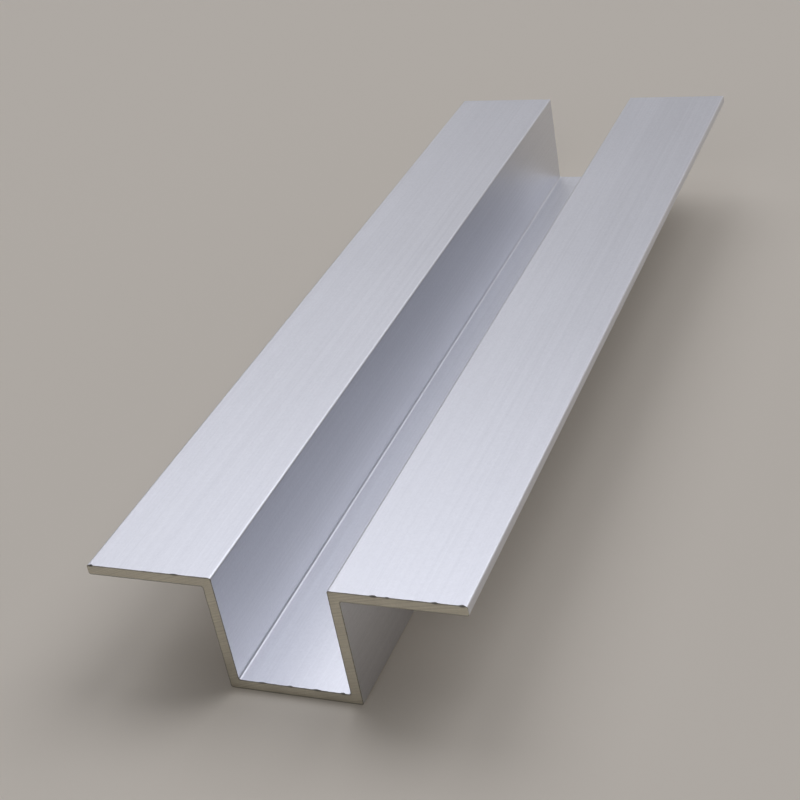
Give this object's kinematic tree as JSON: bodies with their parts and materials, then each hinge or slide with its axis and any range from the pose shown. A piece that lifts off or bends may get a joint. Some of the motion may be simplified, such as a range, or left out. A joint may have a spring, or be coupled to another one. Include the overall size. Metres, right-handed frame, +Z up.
{
  "type": "aluminium extrusion profile",
  "caption": "Straight hat-section profile: an open-topped square channel with a flat flange running outwards along each lip.",
  "frame": {"origin": "underside of the channel floor, at the middle of the width and of the length", "axes": "+Y along the length, +Z up out of the channel's open side, +X across the section"},
  "size_m": [0.0344, 0.1, 0.012],
  "materials": {
    "satin_aluminium": "fine matt clear anodising with faint lines along the length; bare saw-cut ends"
  },
  "bodies": {
    "root": {"hat_profile": "satin_aluminium"}
  },
  "joints": []
}
